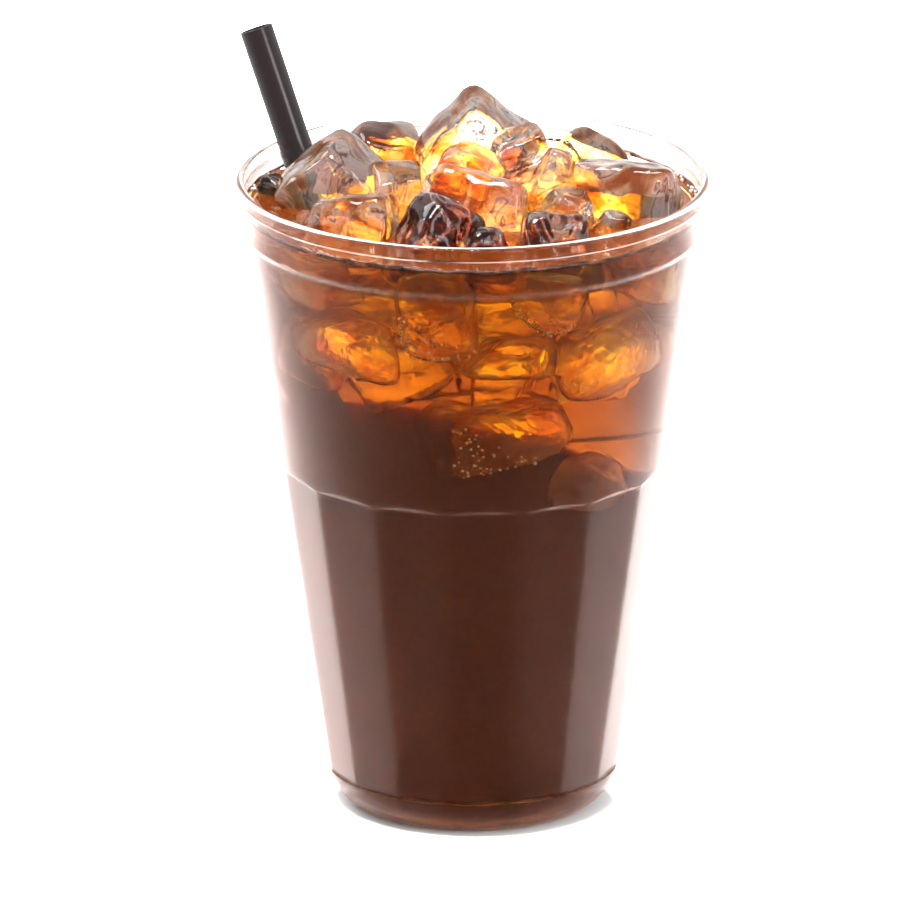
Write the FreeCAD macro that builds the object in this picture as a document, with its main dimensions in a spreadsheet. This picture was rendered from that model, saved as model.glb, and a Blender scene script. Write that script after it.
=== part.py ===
"""Iced coffee: a clear plastic tumbler with sixteen flat panels, black coffee, ice blocks and a straw.

Millimetres, +Z up. The origin is on the tumbler's axis, in the plane that it stands on.
The front of the drink faces -Y, and the straw leans out over the back left of the rim.
Every size is a cell of the sheet named sizes, and every sub-part is bound to those cells.
"""

import os

import FreeCAD
import Part
import Sketcher

OUT = "parts"

# Each size: cell alias, value, what it is.
SIZES = [
    ("cup_height", 134.5, "standing plane to the top of the rim"),
    ("rim_radius", 49.0, "outside of the rolled rim"),
    ("rim_width", 1.8, "rolled rim, from its outside to the mouth"),
    ("rim_height", 3.2, "rolled rim, top to underside"),
    ("rim_round", 0.8, "rounding of the rim's edges"),
    ("wall", 0.7, "wall of the tumbler"),
    ("neck_inset", 2.3, "outside of the wall under the lid band, inside the rim's"),
    ("neck_below", 11.7, "start of the lid band, below the rim's top"),
    ("band_step", 0.95, "how far the lid band stands out from the wall"),
    ("band_rise", 1.4, "height of the lid band's sloping lower edge"),
    ("shoulder_radius", 40.3, "outside of the wall where the panels end"),
    ("shoulder_height", 74.0, "where the panels end"),
    ("panel_count", 16, "flat panels round the lower wall"),
    ("panel_turn", 3.35, "turn of the panels from the front, in degrees"),
    ("panel_ledge", 1.6, "height of the sloping ledge over a panel"),
    ("foot_radius", 30.4, "outside of the wall at the foot ring"),
    ("foot_height", 7.8, "top of the foot ring"),
    ("foot_round", 10.0, "rounding of the foot, seen from the side"),
    ("base_radius", 24.3, "outside of the ring that the tumbler stands on"),
    ("hollow_radius", 19.0, "inside of the ring that it stands on"),
    ("hollow_height", 1.6, "how far the base is raised inside that ring"),
    ("hollow_slope", 2.0, "width of the slope from the ring to the raised base"),
    ("fill_below", 6.1, "level of the coffee, below the rim's top"),
    ("straw_radius", 3.5, "outside of the straw"),
    ("straw_wall", 0.4, "wall of the straw"),
    ("straw_lean", 21.7, "lean of the straw from upright, in degrees"),
    ("straw_bearing", 148.5, "direction of the lean, from +X towards +Y, in degrees"),
    ("straw_above", 24.0, "height of the straw's end over the rim"),
    ("straw_gap", 0.3, "clearance of the straw from the rim and the base"),
    ("ice_draft", 1.6, "how much narrower an ice block's far end is, on each side"),
    ("ice_round", 2.4, "rounding of an ice block's edges"),
    ("chip_round", 1.2, "rounding of a small ice piece's edges"),
]

# Each ice block that shows above the coffee: its width, depth and height, the sideways shift of its
# far end, the place of its centre (to the right and to the back, as shares of the mouth's radius, and
# up from the coffee's level) and its yaw, pitch and roll in degrees. A block is cut by those before it.
ICE_COLUMNS = ("wide", "deep", "high", "shift", "right", "back", "lift", "yaw", "pitch", "roll")
ICE = {
    "right_back": (13, 10, 9, 1, 0.203, 0.318, 6.8, 10, -20, 16),
    "back_peak": (21, 19, 20, 0, 0.017, 0.424, 5.8, 6, 40, 8),
    "left_peak": (22, 18, 16.5, 1, -0.625, 0.095, 2.2, -14, -41, 10),
    "back_left": (17, 15, 15, -1, -0.386, 0.583, 0.8, 16, 12, 14),
    "front_left": (18.5, 14, 12, 1, -0.53, -0.339, 0.8, -16, -10, -14),
    "left_middle": (12.5, 12, 13, 0, -0.343, -0.021, 2.2, 12, 4, 10),
    "centre_back": (15, 12, 13, -1, -0.013, 0.18, 3.2, -10, 36, 12),
    "centre_front": (22, 17, 16, -1, 0.03, -0.159, 1, -10, 10, -24),
    "front_dark": (17, 14, 16, -1, -0.131, -0.487, 0.2, 24, 30, -8),
    "front_chip": (10, 8, 8, 0, 0.068, -0.593, 0.2, 10, 4, -6),
    "back_right": (16, 13, 15, 1, 0.475, 0.614, -0.8, -26, 34, 14),
    "centre_tall": (8.5, 8, 13, 1, 0.347, 0.117, 4.4, 6, 12, -6),
    "right_large": (24.5, 18, 15, -1, 0.678, 0.011, 1.4, -4, 3, -12),
    "right_oval": (11.5, 10, 8, 0, 0.424, -0.225, 2.4, 20, 18, 10),
    "front_right": (16, 13, 13, -1, 0.369, -0.519, -0.8, 8, 8, -20),
    "right_chip": (8, 8, 8, 0, 0.623, -0.371, 0.6, 20, 10, 12),
    "left_chip": (8, 7, 7, 0, -0.869, 0.208, 0.2, -50, 16, 8),
}
CHIPS = ("left_middle", "front_chip", "centre_tall", "right_oval", "right_chip", "left_chip")

# Places that several sub-parts share. A name in angle brackets is a cell of the sheet.
MOUTH_RADIUS = "(<rim_radius> - <rim_width>)"
NECK_RADIUS = "(<rim_radius> - <neck_inset>)"
NECK_HEIGHT = "(<cup_height> - <neck_below>)"
LEVEL = "(<cup_height> - <fill_below>)"

TOUCH = 1e-4  # mm3: two solids that share less than this only touch


def write_sheet(doc):
    """Puts every size in the sheet, one row each: value, alias and note."""
    sheet = doc.addObject("Spreadsheet::Sheet", "sizes")
    rows = list(SIZES)
    for name, values in ICE.items():
        for column, value in zip(ICE_COLUMNS, values):
            rows.append((f"{name}_{column}", value, f"ice block {name}"))
    for row, (alias, value, note) in enumerate(rows, start=1):
        sheet.set(f"A{row}", note)
        sheet.set(f"B{row}", str(value))
        sheet.setAlias(f"B{row}", alias)
    doc.recompute()
    return sheet


def cells(text):
    """An expression with its size names written as cells of the sheet: <name> stands for sizes.name."""
    return text.replace("<", "sizes.").replace(">", "")


def origin_plane(body, role):
    """One of a body's own origin planes or axes, by its role."""
    return next(o for o in body.Origin.OriginFeatures if o.Role == role)


def side_sketch(body, name):
    """An empty sketch on the body's XZ plane: its x is the radius and its y is the height."""
    sketch = body.newObject("Sketcher::SketchObject", name)
    sketch.AttachmentSupport = (origin_plane(body, "XZ_Plane"), "")
    sketch.MapMode = "FlatFace"
    return sketch


def arc_middle(start, end, radius):
    """The middle of an arc from start to end that bulges to the right of that direction."""
    chord = end - start
    half = chord.Length / 2
    rise = radius - (radius**2 - half**2) ** 0.5
    outward = FreeCAD.Vector(chord.y, -chord.x, 0).normalize()
    return (start + end) / 2 + outward * rise


def trace(sketch, corners):
    """Draws a closed outline through corners and binds each to the sheet.

    A corner is (x, y) or (x, y, radius): the last is the radius of an arc from it to the next corner.
    """
    points = [
        FreeCAD.Vector(*(float(sketch.evalExpression(cells(c))) for c in corner[:2]), 0)
        for corner in corners
    ]
    starts, ends = [], []
    for i, corner in enumerate(corners):
        start, end = points[i], points[(i + 1) % len(points)]
        if len(corner) == 3:
            radius = float(sketch.evalExpression(cells(corner[2])))
            middle = arc_middle(start, end, radius)
            edge = sketch.addGeometry(Part.Arc(start, middle, end))
            runs_on = sketch.getPoint(edge, 1).distanceToPoint(start) < 1e-6
            sketch.addConstraint(Sketcher.Constraint("Radius", edge, radius))
            sketch.renameConstraint(sketch.ConstraintCount - 1, f"round{i}")
            sketch.setExpression(f"Constraints.round{i}", cells(corner[2]))
        else:
            edge = sketch.addGeometry(Part.LineSegment(start, end))
            runs_on = True
        starts.append((edge, 1 if runs_on else 2))
        ends.append((edge, 2 if runs_on else 1))
    for i, corner in enumerate(corners):
        sketch.addConstraint(Sketcher.Constraint("Coincident", *ends[i - 1], *starts[i]))
        for label, kind, axis, expression, value in (
            ("across", "DistanceX", -2, corner[0], points[i].x),
            ("up", "DistanceY", -1, corner[1], points[i].y),
        ):
            if expression == "0":
                sketch.addConstraint(Sketcher.Constraint("PointOnObject", *starts[i], axis))
                continue
            sketch.addConstraint(Sketcher.Constraint(kind, -1, 1, *starts[i], value))
            sketch.renameConstraint(sketch.ConstraintCount - 1, f"{label}{i}")
            sketch.setExpression(f"Constraints.{label}{i}", cells(expression))


def outer_profile():
    """Half of the tumbler's outside, from the raised base round to the top of the rim."""
    return [
        ("0", "<hollow_height>"),
        ("<hollow_radius> - <hollow_slope>", "<hollow_height>"),
        ("<hollow_radius>", "0"),
        ("<base_radius>", "0", "<foot_round>"),
        ("<foot_radius>", "<foot_height>"),
        ("<shoulder_radius>", "<shoulder_height>"),
        (NECK_RADIUS, NECK_HEIGHT),
        (f"{NECK_RADIUS} + <band_step>", f"{NECK_HEIGHT} + <band_rise>"),
        (f"{MOUTH_RADIUS} + <wall>", "<cup_height> - <rim_height>"),
        ("<rim_radius> - <rim_round>", "<cup_height> - <rim_height>", "<rim_round>"),
        ("<rim_radius>", "<cup_height> - <rim_height> + <rim_round>"),
        ("<rim_radius>", "<cup_height> - <rim_round>", "<rim_round>"),
        ("<rim_radius> - <rim_round>", "<cup_height>"),
        (f"{MOUTH_RADIUS} + <rim_round>", "<cup_height>", "<rim_round>"),
        (MOUTH_RADIUS, "<cup_height> - <rim_round>"),
        ("0", "<cup_height> - <rim_round>"),
    ]


def inner_profile():
    """Half of the tumbler's hollow: the outside moved in by the wall, with a rounded mouth."""
    return [
        ("0", "<hollow_height> + <wall>"),
        ("<hollow_radius> - <hollow_slope> + <wall> / 2", "<hollow_height> + <wall>"),
        ("<hollow_radius> + <wall> / 2", "<wall>"),
        ("<base_radius>", "<wall>", "<foot_round> - <wall>"),
        ("<foot_radius> - <wall>", "<foot_height>"),
        ("<shoulder_radius> - <wall>", "<shoulder_height>"),
        (f"{NECK_RADIUS} - <wall>", NECK_HEIGHT),
        (f"{NECK_RADIUS} + <band_step> - <wall>", f"{NECK_HEIGHT} + <band_rise>"),
        (MOUTH_RADIUS, "<cup_height> - <rim_height>"),
        (MOUTH_RADIUS, "<cup_height> + <straw_above>"),
        ("0", "<cup_height> + <straw_above>"),
    ]


def cut_panels(body, inset, bottom):
    """Cuts the flat panels: what lies beyond a leaning plane, under a sloping ledge, repeated round the axis."""
    share = "cos(180 deg / <panel_count>)"
    sketch = side_sketch(body, f"{body.Name}_panel_side")
    trace(
        sketch,
        [
            (f"<foot_radius> * {share} - {inset}", bottom),
            (f"<shoulder_radius> * {share} - {inset}", "<shoulder_height>"),
            (f"<shoulder_radius> + <wall> - {inset}", "<shoulder_height> + <panel_ledge>"),
            ("<rim_radius> + <rim_width>", "<shoulder_height> + <panel_ledge>"),
            ("<rim_radius> + <rim_width>", bottom),
        ],
    )
    panel = body.newObject("PartDesign::Pocket", f"{body.Name}_panel")
    panel.Profile = sketch
    panel.Type = "ThroughAll"
    panel.SideType = "Symmetric"
    body.Document.recompute()
    ring = body.newObject("PartDesign::PolarPattern", f"{body.Name}_panels")
    ring.Originals = [panel]
    ring.Axis = (origin_plane(body, "Z_Axis"), [""])
    ring.Angle = 360
    ring.setExpression("Occurrences", cells("<panel_count>"))
    body.Tip = ring


def vessel_form(doc, name, profile, inset, panel_bottom):
    """A turned solid with the flat panels cut into its lower wall."""
    body = doc.addObject("PartDesign::Body", name)
    sketch = side_sketch(body, f"{name}_side")
    trace(sketch, profile)
    turned = body.newObject("PartDesign::Revolution", f"{name}_turned")
    turned.Profile = sketch
    turned.ReferenceAxis = (sketch, ["V_Axis"])
    turned.Angle = 360
    doc.recompute()
    cut_panels(body, inset, panel_bottom)
    body.setExpression("Placement", cells("placement(vector(0;0;0);rotation(<panel_turn>;0;0))"))
    doc.recompute()
    return body


def straw_body(doc, name, inner):
    """The straw, or with no inner radius the room that it takes, leaning on the mouth's edge."""
    body = doc.addObject("PartDesign::Body", name)
    sketch = body.newObject("Sketcher::SketchObject", f"{name}_section")
    sketch.AttachmentSupport = (origin_plane(body, "XY_Plane"), "")
    sketch.MapMode = "FlatFace"
    for label, expression in (("outside", "<straw_radius>"), ("inside", inner)):
        if expression:
            radius = float(sketch.evalExpression(cells(expression)))
            circle = sketch.addGeometry(Part.Circle(FreeCAD.Vector(), FreeCAD.Vector(0, 0, 1), radius))
            sketch.addConstraint(Sketcher.Constraint("Coincident", circle, 3, -1, 1))
            sketch.addConstraint(Sketcher.Constraint("Radius", circle, radius))
            sketch.renameConstraint(sketch.ConstraintCount - 1, label)
            sketch.setExpression(f"Constraints.{label}", cells(expression))
    tube = body.newObject("PartDesign::Pad", f"{name}_tube")
    tube.Profile = sketch
    # The lower end's edge stands just over the raised base, and the side rests near the mouth's edge.
    low = "(<hollow_height> + <wall> + <straw_gap> + <straw_radius> * sin(<straw_lean> * 1 deg))"
    reach = (
        f"({MOUTH_RADIUS} - <straw_gap> - <straw_radius> / cos(<straw_lean> * 1 deg)"
        f" - (<cup_height> - {low}) * tan(<straw_lean> * 1 deg))"
    )
    rise = f"(<cup_height> + <straw_above> - {low})"
    tube.setExpression("Length", cells(f"{rise} / cos(<straw_lean> * 1 deg)"))
    place = (
        f"placement(vector({reach} * cos(<straw_bearing> * 1 deg);"
        f" {reach} * sin(<straw_bearing> * 1 deg); {low});"
        " rotation(<straw_bearing>; <straw_lean>; 0))"
    )
    body.setExpression("Placement", cells(place))
    doc.recompute()
    return body


def ice_form(doc, name):
    """One ice block on its own: a tapered block with a shifted far end and rounded edges, turned in place."""
    body = doc.addObject("PartDesign::Body", f"form_{name}")
    block = body.newObject("PartDesign::AdditiveWedge", f"block_{name}")
    for low, high, column in (("Xmin", "Xmax", "wide"), ("Zmin", "Zmax", "deep"), ("Ymin", "Ymax", "high")):
        block.setExpression(low, cells(f"-<{name}_{column}> / 2"))
        block.setExpression(high, cells(f"<{name}_{column}> / 2"))
    for low, high, column, shift in (
        ("X2min", "X2max", "wide", f"<{name}_shift>"),
        ("Z2min", "Z2max", "deep", "0"),
    ):
        block.setExpression(low, cells(f"-<{name}_{column}> / 2 + <ice_draft> + {shift}"))
        block.setExpression(high, cells(f"<{name}_{column}> / 2 - <ice_draft> + {shift}"))
    doc.recompute()
    edges = body.newObject("PartDesign::Fillet", f"edges_{name}")
    edges.Base = (block, [""])
    edges.UseAllEdges = True
    edges.setExpression("Radius", cells("<chip_round>" if name in CHIPS else "<ice_round>"))
    level_place = f"{MOUTH_RADIUS} * <{name}_right>; {MOUTH_RADIUS} * <{name}_back>"
    centre = f"vector({level_place}; {LEVEL} + <{name}_lift>)"
    turn = f"rotation(<{name}_yaw>; <{name}_pitch>; 90 + <{name}_roll>)"
    body.setExpression("Placement", cells(f"placement({centre}; {turn})"))
    doc.recompute()
    return body


def shares_space(first, second):
    """True if two shapes overlap by more than a touch."""
    if not first.BoundBox.intersect(second.BoundBox):
        return False
    return first.common(second).Volume > TOUCH


def within(doc, name, base, room):
    """The base, or if it reaches out of the room, the part of it that lies inside."""
    if base.Shape.cut(room.Shape).Volume < TOUCH:
        return base
    kept = doc.addObject("Part::Common", f"kept_{name}")
    kept.Base = base
    kept.Tool = room
    doc.recompute()
    return kept


def without(doc, name, base, tools):
    """The base with every tool that reaches into it cut away, so that the two meet face to face."""
    reaching = [tool for tool in tools if shares_space(base.Shape, tool.Shape)]
    if not reaching:
        return base
    cut = doc.addObject("Part::Cut", name)
    cut.Base = base
    if len(reaching) == 1:
        cut.Tool = reaching[0]
    else:
        cut.Tool = doc.addObject("Part::Compound", f"tools_{name}")
        cut.Tool.Links = reaching
    doc.recompute()
    return cut


def build(doc):
    """Makes every sub-part and returns them by node name."""
    outside = vessel_form(doc, "outside", outer_profile(), "0", "<foot_height>")
    hollow = vessel_form(doc, "hollow", inner_profile(), "<wall>", "<foot_height> - <wall>")
    cup = doc.addObject("Part::Cut", "cup")
    cup.Base = outside
    cup.Tool = hollow
    doc.recompute()
    nodes = {"cup": cup}

    nodes["straw"] = straw_body(doc, "straw", "<straw_radius> - <straw_wall>")
    straw_room = straw_body(doc, "straw_room", "")

    placed = [straw_room]
    for name in ICE:
        block = within(doc, name, ice_form(doc, name), hollow)
        node = without(doc, f"ice_{name}", block, placed)
        nodes[f"ice_{name}"] = node
        placed.append(node)

    level = doc.addObject("Part::Cylinder", "level")
    level.setExpression("Radius", cells("<rim_radius>"))
    level.setExpression("Height", cells(LEVEL))
    fill = doc.addObject("Part::Common", "fill")
    fill.Base = hollow
    fill.Tool = level
    doc.recompute()
    nodes["coffee"] = without(doc, "coffee", fill, [nodes["straw"], *placed[1:]])
    return nodes


def check(doc, nodes):
    """Stops if any object failed to recompute, or any sub-part isn't whole and valid."""
    failed = [o.Name for o in doc.Objects if "Invalid" in o.State or "Error" in o.State]
    if failed:
        raise RuntimeError(f"these objects failed: {failed}")
    for name, node in nodes.items():
        shape = node.Shape
        if shape.isNull() or not shape.isValid() or not shape.Solids:
            raise RuntimeError(f"sub-part {name} isn't a valid solid")
        print(f"{name}: {len(shape.Solids)} solid, {shape.Volume:.1f} mm3")


def main():
    doc = FreeCAD.newDocument("iced_coffee")
    write_sheet(doc)
    nodes = build(doc)
    check(doc, nodes)
    os.makedirs(OUT, exist_ok=True)
    for name, node in nodes.items():
        node.Label = name
        node.Shape.exportStep(os.path.join(OUT, f"{name}.step"))


main()
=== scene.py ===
"""Iced coffee: the looks of the tumbler, the coffee, the ice and the straw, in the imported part's frame.

Metres, +Z up; the front faces -Y. Shapes are worked out in millimetres, and brought to metres once each,
by add_piece or by scaled.
"""

import math

import bpy
import numpy as np
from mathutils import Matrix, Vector


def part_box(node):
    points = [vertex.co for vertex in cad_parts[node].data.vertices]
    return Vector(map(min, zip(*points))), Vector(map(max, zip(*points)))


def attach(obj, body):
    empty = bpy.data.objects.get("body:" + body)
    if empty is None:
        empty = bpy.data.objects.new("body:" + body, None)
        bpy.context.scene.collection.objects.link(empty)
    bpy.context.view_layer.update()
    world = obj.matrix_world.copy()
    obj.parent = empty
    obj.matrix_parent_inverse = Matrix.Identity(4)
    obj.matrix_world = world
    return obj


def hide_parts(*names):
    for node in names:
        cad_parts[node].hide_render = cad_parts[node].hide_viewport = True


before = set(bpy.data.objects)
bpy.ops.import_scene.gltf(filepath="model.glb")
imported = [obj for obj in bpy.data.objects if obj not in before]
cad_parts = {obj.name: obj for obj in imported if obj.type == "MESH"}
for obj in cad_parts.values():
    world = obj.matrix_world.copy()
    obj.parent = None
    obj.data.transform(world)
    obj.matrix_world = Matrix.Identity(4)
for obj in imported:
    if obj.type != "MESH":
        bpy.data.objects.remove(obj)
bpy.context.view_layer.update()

MM = 0.001

# The tumbler, in millimetres: its overall sizes come from the frame.
RIM_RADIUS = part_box("cup")[1].x / MM
CUP_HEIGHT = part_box("cup")[1].z / MM
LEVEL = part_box("coffee")[1].z / MM
RIM_WIDTH, RIM_HEIGHT, RIM_ROUND = 1.8, 3.2, 0.8
WALL = 0.7
NECK_INSET, NECK_BELOW = 2.3, 11.7
BAND_STEP, BAND_RISE = 0.95, 1.4
SHOULDER_RADIUS, SHOULDER_HEIGHT = 40.3, 74.0
PANEL_COUNT, PANEL_TURN, PANEL_LEDGE, PANEL_BLEND = 16, 3.35, 1.6, 0.8
PANEL_BEAD, BEAD_REACH = 0.16, 0.25
FOOT_RADIUS, FOOT_HEIGHT, FOOT_ROUND = 30.4, 7.8, 10.0
BASE_RADIUS, HOLLOW_RADIUS, HOLLOW_HEIGHT, HOLLOW_SLOPE = 24.3, 19.0, 1.6, 2.0
MOUTH_RADIUS = RIM_RADIUS - RIM_WIDTH
NECK_RADIUS = RIM_RADIUS - NECK_INSET
NECK_HEIGHT = CUP_HEIGHT - NECK_BELOW
COLUMNS = PANEL_COUNT * 20

# Undiluted coffee under the ice, in millimetres: its top's height, its fall to the edge, its rise to the
# left, and the radius of that edge.
CORE_TOP, CORE_FALL, CORE_TILT, CORE_RADIUS = 87.0, 13.0, 12.0, 32.0

# The straw, in millimetres and degrees.
STRAW_RADIUS, STRAW_WALL = 3.5, 0.4
STRAW_LEAN, STRAW_BEARING, STRAW_GAP = 21.7, 148.5, 0.3

# How the fillings meet: the coffee reaches into the wall, and ice overlaps the pocket that it lies in.
INTO_WALL = 0.15
INTO_COFFEE = 0.08
# Least gaps between blocks: those that stand out of the coffee, and sunk ones.
ICE_GAP = 0.3
SUNK_GAP = 1.5

# Ice that stands out of the coffee: width, depth, height, sideways shift of its far end, its centre's
# place to the right and to the back (shares of the mouth's radius) and over the level, yaw, pitch, roll.
ICE_ABOVE = {
    "right_back": (13, 10, 9, 1, 0.203, 0.318, 6.8, 10, -20, 16),
    "back_peak": (21, 19, 20, 0, 0.017, 0.424, 5.8, 6, 40, 8),
    "left_peak": (22, 18, 16.5, 1, -0.625, 0.095, 2.2, -14, -41, 10),
    "back_left": (17, 15, 15, -1, -0.386, 0.583, 0.8, 16, 12, 14),
    "front_left": (18.5, 14, 12, 1, -0.53, -0.339, 0.8, -16, -10, -14),
    "left_middle": (12.5, 12, 13, 0, -0.343, -0.021, 2.2, 12, 4, 10),
    "centre_back": (15, 12, 13, -1, -0.013, 0.18, 3.2, -10, 36, 12),
    "centre_front": (22, 17, 16, -1, 0.03, -0.159, 1, -10, 10, -24),
    "front_dark": (17, 14, 16, -1, -0.131, -0.487, 0.2, 24, 30, -8),
    "front_chip": (10, 8, 8, 0, 0.068, -0.593, 0.2, 10, 4, -6),
    "back_right": (16, 13, 15, 1, 0.475, 0.614, -0.8, -26, 34, 14),
    "centre_tall": (8.5, 8, 13, 1, 0.347, 0.117, 4.4, 6, 12, -6),
    "right_large": (24.5, 18, 15, -1, 0.678, 0.011, 1.4, -4, 3, -12),
    "right_oval": (11.5, 10, 8, 0, 0.424, -0.225, 2.4, 20, 18, 10),
    "front_right": (16, 13, 13, -1, 0.369, -0.519, -0.8, 8, 8, -20),
    "right_chip": (8, 8, 8, 0, 0.623, -0.371, 0.6, 20, 10, 12),
    "left_chip": (8, 7, 7, 0, -0.869, 0.208, 0.2, -50, 16, 8),
}
# Ice sunk in the coffee against the front wall: width, depth, height, shift, its centre to the right,
# to the back and up in millimetres, yaw, pitch, roll.
ICE_SUNK = (
    (20, 17, 11, 1, -30, -24, 122.5, 30, -6, 8),
    (19, 24, 13, -1, -25, -25, 109, 20, 8, 4),
    (17, 17, 20, 1, -8, -34, 118, 6, -6, 0),
    (24, 18, 9, 0, 5, -32, 107.5, -4, 2, -8),
    (17, 17, 14, 1, 15, -33, 120.5, -16, 10, 6),
    (22, 18, 16, -1, 26, -23, 105, -30, -16, 10),
    (26, 18, 11, 2, 7, -30, 90.5, -8, -14, 12),
    (14, 14, 9, 0, 22, -22, 77, -24, 20, 8),
    (14, 15, 14, 1, 33, -18, 121, -50, 8, 0),
    (13, 14, 12, 0, -30, -14, 102, 50, 14, 6),
)
# The sunk blocks that bubbles cling to, and how many on each.
BUBBLY_BLOCKS = ("sunk_front_6", "sunk_front_2", "sunk_front_4")
BUBBLES_ON_BLOCK = 55
# Ice packed behind it: rows of blocks at each height, spaced alike, then shifted, sized and turned at
# random. At each height a margin keeps their centres away from the wall.
PACKED_HEIGHTS = (118.0, 103.0, 89.0)
PACKED_SPACING = 16.0
PACKED_FRONT = -14.0
PACKED_SHIFT, PACKED_SIZE, PACKED_TURN = 2.5, (17, 21), 30.0
PACKED_MARGIN = (15.0, 16.0, 27.0)


def srgb(code):
    """A colour written as sRGB hex, as the linear RGBA that Blender's sockets take."""
    value = np.array([int(code[i : i + 2], 16) for i in (0, 2, 4)]) / 255
    linear = np.where(value <= 0.04045, value / 12.92, ((value + 0.055) / 1.055) ** 2.4)
    return (*linear, 1.0)


def add_node(tree, kind, settings=None, **links):
    """A node of that kind: settings are its properties and sockets, links what each input is fed by."""
    node = tree.nodes.new(kind)
    for name, value in (settings or {}).items():
        if name in node.inputs:
            node.inputs[name].default_value = value
        else:
            setattr(node, name, value)
    for name, source in links.items():
        tree.links.new(source, node.inputs[name.replace("_", " ")])
    return node


def new_material(name):
    """An empty material with its tree and output node."""
    material = bpy.data.materials.new(name)
    material.use_nodes = True
    tree = material.node_tree
    tree.nodes.clear()
    return material, tree, tree.nodes.new("ShaderNodeOutputMaterial")


# ---------------------------------------------------------------- materials


def moulded_pet():
    """Clear PET, thermoformed: smooth and glassy, with faint flow ripples and a bloom of cold mist."""
    material, tree, output = new_material("moulded_clear_pet")
    place = add_node(tree, "ShaderNodeTexCoord").outputs["Object"]
    ripple = add_node(tree, "ShaderNodeTexNoise", {"Scale": 90.0, "Detail": 2.0}, Vector=place)
    bump = add_node(
        tree, "ShaderNodeBump", {"Strength": 0.06, "Distance": 0.0006}, Height=ripple.outputs["Fac"]
    )
    shader = add_node(
        tree,
        "ShaderNodeBsdfPrincipled",
        {
            "Base Color": srgb("f5eee9"),
            "Roughness": 0.03,
            "IOR": 1.57,
            "Transmission Weight": 1.0,
            "Specular Tint": srgb("303030"),
            "Sheen Weight": 0.3,
            "Sheen Roughness": 0.4,
            "Sheen Tint": srgb("ffa078"),
        },
        Normal=bump.outputs["Normal"],
    )
    tree.links.new(shader.outputs["BSDF"], output.inputs["Surface"])
    return material


def brewed_coffee():
    """Black filter coffee: clear, amber where thin and nearly black where deep, its skin barely stirred."""
    material, tree, output = new_material("black_filter_coffee")
    place = add_node(tree, "ShaderNodeTexCoord").outputs["Object"]
    stir = add_node(tree, "ShaderNodeTexNoise", {"Scale": 60.0, "Detail": 2.0}, Vector=place)
    bump = add_node(
        tree, "ShaderNodeBump", {"Strength": 0.05, "Distance": 0.001}, Height=stir.outputs["Fac"]
    )
    # Absorption per metre is density times (1 - colour): 36 in red, 58 in green, 215 in blue.
    shader = add_node(
        tree,
        "ShaderNodeBsdfPrincipled",
        {
            "Base Color": srgb("ffffff"),
            "Roughness": 0.0,
            "IOR": 1.34,
            "Transmission Weight": 1.0,
            "Specular Tint": srgb("804030"),
            "Sheen Weight": 0.25,
            "Sheen Roughness": 1.0,
            "Sheen Tint": srgb("c05818"),
        },
        Normal=bump.outputs["Normal"],
    )
    depth = add_node(tree, "ShaderNodeVolumeAbsorption", {"Color": (0.832, 0.73, 0.0, 1), "Density": 215.0})
    tree.links.new(shader.outputs["BSDF"], output.inputs["Surface"])
    tree.links.new(depth.outputs["Volume"], output.inputs["Volume"])
    return material


def undiluted_coffee():
    """The coffee under the ice, which no melting ice has thinned: it has no skin of its own, only depth."""
    material, tree, output = new_material("undiluted_filter_coffee")
    shader = add_node(
        tree,
        "ShaderNodeBsdfPrincipled",
        {"Base Color": srgb("ffffff"), "Roughness": 0.0, "IOR": 1.0, "Transmission Weight": 1.0},
    )
    # Per metre: 110 more in red, 200 more in green and blue.
    depth = add_node(tree, "ShaderNodeVolumeAbsorption", {"Color": (0.45, 0.0, 0.0, 1), "Density": 200.0})
    tree.links.new(shader.outputs["BSDF"], output.inputs["Surface"])
    tree.links.new(depth.outputs["Volume"], output.inputs["Volume"])
    return material


def colour_ramp(tree, source, stops):
    """A ramp of colours along a value: stops are pairs of position and sRGB hex colour."""
    ramp = add_node(tree, "ShaderNodeValToRGB", Fac=source)
    while len(ramp.color_ramp.elements) < len(stops):
        ramp.color_ramp.elements.new(0.5)
    for element, (position, colour) in zip(ramp.color_ramp.elements, stops):
        element.position = position
        element.color = srgb(colour)
    return ramp.outputs["Color"]


def clouded_ice_under_coffee():
    """Ice just behind the wall, under the coffee: a little clouded by trapped air, with amber patches in
    its colour that are a painted glow of light through the coffee, and a skin of small bubbles."""
    material, tree, output = new_material("clouded_ice_under_coffee")
    place = add_node(tree, "ShaderNodeTexCoord").outputs["Object"]
    glow_patch_noise = add_node(
        tree, "ShaderNodeTexNoise", {"Scale": 110.0, "Detail": 3.0, "Distortion": 0.6}, Vector=place
    )
    # Amber patches in the colour: a painted glow of light through the coffee.
    colour = colour_ramp(
        tree,
        glow_patch_noise.outputs["Fac"],
        ((0.36, "e8a060"), (0.46, "ffe0b0"), (0.56, "fff4dc"), (0.68, "ffffff")),
    )
    bubbles = add_node(tree, "ShaderNodeTexVoronoi", {"Scale": 650.0}, Vector=place)
    bump = add_node(
        tree, "ShaderNodeBump", {"Strength": 0.2, "Distance": 0.0006}, Height=bubbles.outputs["Distance"]
    )
    shader = add_node(
        tree,
        "ShaderNodeBsdfPrincipled",
        {"Roughness": 0.08, "IOR": 1.31, "Transmission Weight": 0.98, "Specular Tint": srgb("404040")},
        Base_Color=colour,
        Normal=bump.outputs["Normal"],
    )
    tree.links.new(shader.outputs["BSDF"], output.inputs["Surface"])
    return material


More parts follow.
